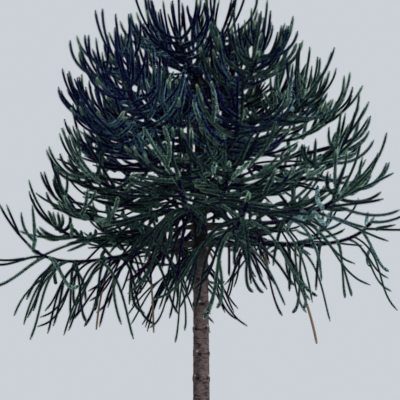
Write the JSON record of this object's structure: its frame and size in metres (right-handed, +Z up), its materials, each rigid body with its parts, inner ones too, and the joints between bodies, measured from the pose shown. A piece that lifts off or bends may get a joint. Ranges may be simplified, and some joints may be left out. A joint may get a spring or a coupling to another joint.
{
  "type": "monkey puzzle tree",
  "caption": "Whole conifer with one straight trunk, bare boughs below and a wide dome of foliage in whorls of scaly upswept shoots, on a flat cut at ground level.",
  "frame": {"origin": "centre of the flat cut under the trunk, at ground level", "axes": "+Z up along the trunk, -Y towards the side that the picture sees, +X to the right in the picture"},
  "size_m": [11.2384, 10.7952, 11.8488],
  "materials": {
    "trunk_bark": "rough grey-brown bark with rings of old limb scars",
    "bough_bark": "dark rough bark",
    "foliage": "stiff dark green scale leaves, half matt"
  },
  "bodies": {
    "root": {"bough_whorl1_1": "bough_bark", "bough_whorl1_2": "bough_bark", "bough_whorl1_3": "bough_bark", "bough_whorl1_4": "bough_bark", "bough_whorl2_1": "bough_bark", "bough_whorl2_2": "bough_bark", "bough_whorl2_3": "bough_bark", "bough_whorl2_4": "bough_bark", "bough_whorl2_5": "bough_bark", "foliage_leader": "foliage", "foliage_whorl10_1": "foliage", "foliage_whorl10_2": "foliage", "foliage_whorl10_3": "foliage", "foliage_whorl10_4": "foliage", "foliage_whorl1_1": "foliage", "foliage_whorl1_2": "foliage", "foliage_whorl1_3": "foliage", "foliage_whorl1_4": "foliage", "foliage_whorl2_1": "foliage", "foliage_whorl2_2": "foliage", "foliage_whorl2_3": "foliage", "foliage_whorl2_4": "foliage", "foliage_whorl2_5": "foliage", "foliage_whorl3_1": "foliage", "foliage_whorl3_2": "foliage", "foliage_whorl3_3": "foliage", "foliage_whorl3_4": "foliage", "foliage_whorl3_5": "foliage", "foliage_whorl4_1": "foliage", "foliage_whorl4_2": "foliage", "foliage_whorl4_3": "foliage", "foliage_whorl4_4": "foliage", "foliage_whorl4_5": "foliage", "foliage_whorl4_6": "foliage", "foliage_whorl5_1": "foliage", "foliage_whorl5_2": "foliage", "foliage_whorl5_3": "foliage", "foliage_whorl5_4": "foliage", "foliage_whorl5_5": "foliage", "foliage_whorl5_6": "foliage", "foliage_whorl6_1": "foliage", "foliage_whorl6_2": "foliage", "foliage_whorl6_3": "foliage", "foliage_whorl6_4": "foliage", "foliage_whorl6_5": "foliage", "foliage_whorl6_6": "foliage", "foliage_whorl7_1": "foliage", "foliage_whorl7_2": "foliage", "foliage_whorl7_3": "foliage", "foliage_whorl7_4": "foliage", "foliage_whorl7_5": "foliage", "foliage_whorl8_1": "foliage", "foliage_whorl8_2": "foliage", "foliage_whorl8_3": "foliage", "foliage_whorl8_4": "foliage", "foliage_whorl9_1": "foliage", "foliage_whorl9_2": "foliage", "foliage_whorl9_3": "foliage", "foliage_whorl9_4": "foliage", "trunk": "trunk_bark"}
  },
  "joints": []
}
